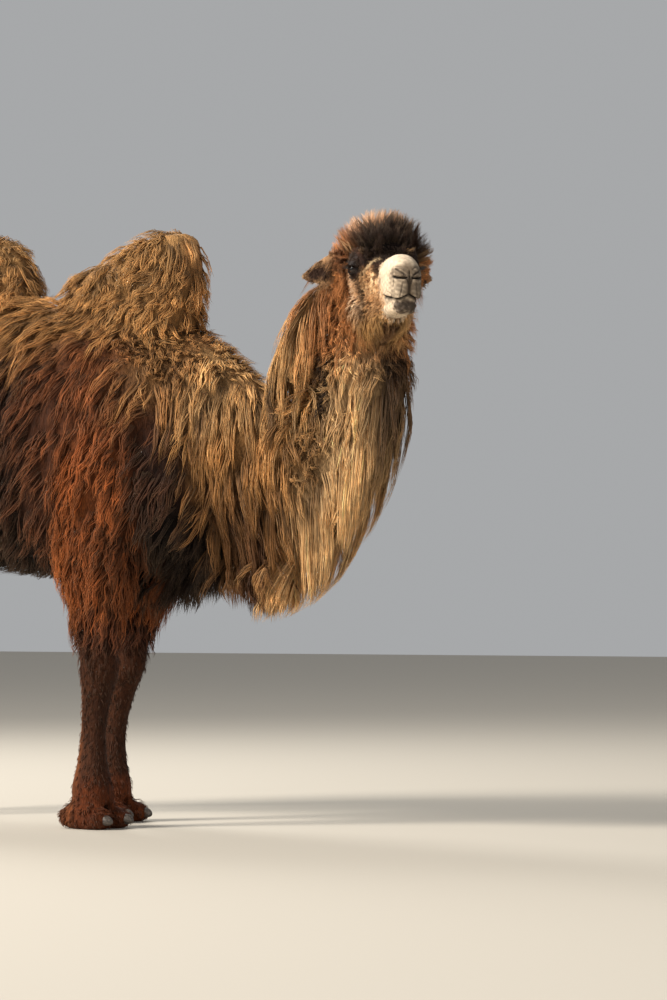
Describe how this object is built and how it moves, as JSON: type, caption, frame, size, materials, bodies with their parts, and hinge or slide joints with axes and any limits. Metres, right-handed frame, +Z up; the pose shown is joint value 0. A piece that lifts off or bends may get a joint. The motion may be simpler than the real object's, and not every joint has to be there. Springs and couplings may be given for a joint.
{
  "type": "bactrian camel",
  "caption": "Life-size still model of a standing two-humped camel in its winter coat, with its head turned to its right.",
  "frame": {"origin": "on the floor, under the middle of the model's bounding box", "axes": "+X towards the chest, the way the body faces; +Y to the animal's left; +Z up"},
  "size_m": [2.8368, 0.8286, 2.0899],
  "materials": {
    "body_coat": "shaggy brown winter wool, matt",
    "hump_coat": "sandy brown curly wool, matt",
    "neck_mane": "long straight golden brown hair",
    "thigh_coat": "rusty brown wool in hanging locks",
    "leg_coat": "short dark reddish brown hair",
    "tail_coat": "short dark brown hair with a longer tuft",
    "head_coat": "short beige face hair, dark brown crown, bare grey muzzle",
    "eye": "wet dark brown eye",
    "nail": "dull grey-brown horn"
  },
  "bodies": {
    "root": {"ear_left": "head_coat", "ear_right": "head_coat", "eye_left": "eye", "eye_right": "eye", "forefoot_left": "leg_coat", "forefoot_right": "leg_coat", "foreleg_left_lower": "leg_coat", "foreleg_left_upper": "thigh_coat", "foreleg_right_lower": "leg_coat", "foreleg_right_upper": "thigh_coat", "head": "head_coat", "hindfoot_left": "leg_coat", "hindfoot_right": "leg_coat", "hindleg_left_lower": "leg_coat", "hindleg_left_upper": "thigh_coat", "hindleg_right_lower": "leg_coat", "hindleg_right_upper": "thigh_coat", "hump_front": "hump_coat", "hump_rear": "hump_coat", "neck_lower": "neck_mane", "neck_upper": "neck_mane", "tail": "tail_coat", "toenail_fore_left_inner": "nail", "toenail_fore_left_outer": "nail", "toenail_fore_right_inner": "nail", "toenail_fore_right_outer": "nail", "toenail_hind_left_inner": "nail", "toenail_hind_left_outer": "nail", "toenail_hind_right_inner": "nail", "toenail_hind_right_outer": "nail", "trunk": "body_coat"}
  },
  "joints": []
}
